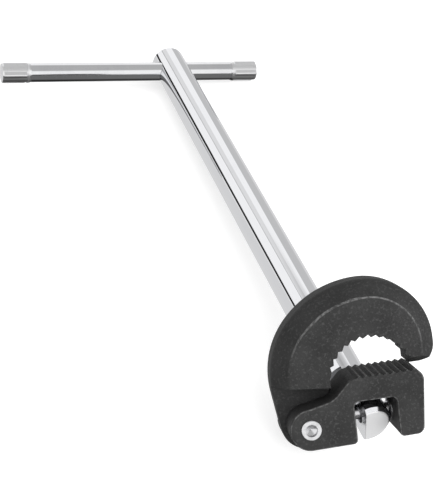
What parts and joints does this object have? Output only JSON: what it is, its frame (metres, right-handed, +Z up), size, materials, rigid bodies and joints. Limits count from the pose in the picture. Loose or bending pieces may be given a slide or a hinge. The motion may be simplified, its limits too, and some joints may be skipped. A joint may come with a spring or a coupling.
{
  "type": "basin wrench",
  "caption": "Basin wrench: long round shaft with a sliding T bar handle and a swinging, spring-closed serrated hook jaw for nuts behind a basin.",
  "frame": {"origin": "on the surface the wrench lies on, under the middle of its bounding box", "axes": "+Z up from the surface, +Y from the jaws towards the T bar (the shaft slopes 1.9 degrees down that way), +X along the T bar towards its shorter side"},
  "size_m": [0.114, 0.2366, 0.0512],
  "materials": {
    "chrome": "polished chrome plate",
    "black_casting": "black phosphate, fine grained satin",
    "zinc_steel": "bright zinc plate",
    "spring_steel": "drawn spring wire"
  },
  "bodies": {
    "shaft": {"shaft": "chrome"},
    "t_bar": {"t_bar": "chrome"},
    "swing_pin": {"swing_pin": "zinc_steel", "fork_washers": "spring_steel"},
    "heel_jaw": {"heel_jaw": "black_casting", "jaw_rivet": "zinc_steel", "rivet_washer": "zinc_steel", "jaw_spring": "spring_steel"},
    "hook_jaw": {"hook_jaw": "black_casting"}
  },
  "joints": [
    {"name": "t_bar_slide", "type": "slide", "parent": "shaft", "child": "t_bar", "axis": [0.9974, -0.0024, -0.0725], "range_m": [-0.0186, 0.0561]},
    {"name": "head_lean", "type": "hinge", "parent": "shaft", "child": "swing_pin", "pos_m": [0.02067, -0.10328, 0.01475], "axis": [-0.1597, 0.0327, 0.9866], "range_deg": [0, 20]},
    {"name": "head_swing", "type": "hinge", "parent": "swing_pin", "child": "heel_jaw", "pos_m": [0.02067, -0.10328, 0.01475], "axis": [0.9722, -0.1683, 0.163], "range_deg": [0, 165]},
    {"name": "jaw_open", "type": "hinge", "parent": "heel_jaw", "child": "hook_jaw", "pos_m": [0.00105, -0.10017, 0.01105], "axis": [-0.2315, -0.7964, 0.5586], "range_deg": [0, 60], "stiffness_Nm_per_rad": 0.2, "springref_deg": -34.38, "deforming": ["jaw_spring"]}
  ]
}
